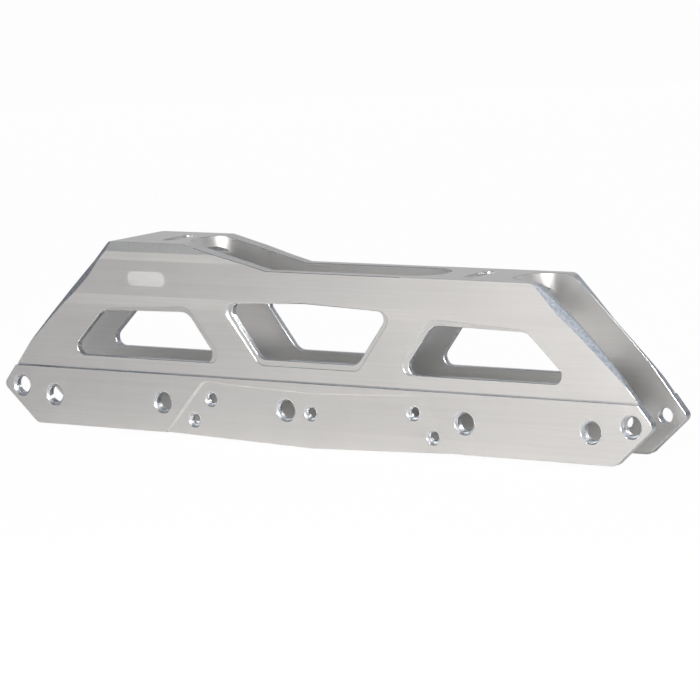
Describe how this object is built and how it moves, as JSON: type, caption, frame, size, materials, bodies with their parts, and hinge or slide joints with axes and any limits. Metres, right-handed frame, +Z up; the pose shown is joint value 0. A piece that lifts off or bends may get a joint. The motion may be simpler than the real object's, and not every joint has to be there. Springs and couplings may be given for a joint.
{
  "type": "inline skate frame",
  "caption": "Bare milled alloy frame for an inline skate, with two windowed side walls, a raised heel platform, a toe deck and cross-drilled rails.",
  "frame": {"origin": "middle of the frame's box at the lowest level of the rails, under the shallow vee", "axes": "+X to the toe along the wheel row, +Y to the threaded far wall, +Z up to the boot"},
  "size_m": [0.354, 0.0418, 0.0922],
  "materials": {
    "near_heel_rail": "satin",
    "near_center_rail": "satin",
    "near_toe_rail": "satin",
    "near_sill": "satin",
    "near_heel_post": "satin",
    "near_heel_pillar": "satin",
    "near_toe_pillar": "satin",
    "near_toe_post": "satin",
    "near_heel_beam": "satin",
    "near_ramp_beam": "satin",
    "near_center_beam": "satin",
    "near_toe_beam": "satin",
    "far_heel_rail": "satin",
    "far_center_rail": "satin",
    "far_toe_rail": "satin",
    "far_sill": "satin",
    "far_heel_post": "satin",
    "far_heel_pillar": "satin",
    "far_toe_pillar": "satin",
    "far_toe_post": "satin",
    "far_heel_beam": "satin",
    "far_ramp_beam": "satin",
    "far_center_beam": "satin",
    "far_toe_beam": "satin",
    "heel_deck": "satin",
    "toe_deck": "satin"
  },
  "bodies": {
    "root": {"near_heel_rail": "near_heel_rail", "near_center_rail": "near_center_rail", "near_toe_rail": "near_toe_rail", "near_sill": "near_sill", "near_heel_post": "near_heel_post", "near_heel_pillar": "near_heel_pillar", "near_toe_pillar": "near_toe_pillar", "near_toe_post": "near_toe_post", "near_heel_beam": "near_heel_beam", "near_ramp_beam": "near_ramp_beam", "near_center_beam": "near_center_beam", "near_toe_beam": "near_toe_beam", "far_heel_rail": "far_heel_rail", "far_center_rail": "far_center_rail", "far_toe_rail": "far_toe_rail", "far_sill": "far_sill", "far_heel_post": "far_heel_post", "far_heel_pillar": "far_heel_pillar", "far_toe_pillar": "far_toe_pillar", "far_toe_post": "far_toe_post", "far_heel_beam": "far_heel_beam", "far_ramp_beam": "far_ramp_beam", "far_center_beam": "far_center_beam", "far_toe_beam": "far_toe_beam", "heel_deck": "heel_deck", "toe_deck": "toe_deck"}
  },
  "joints": []
}
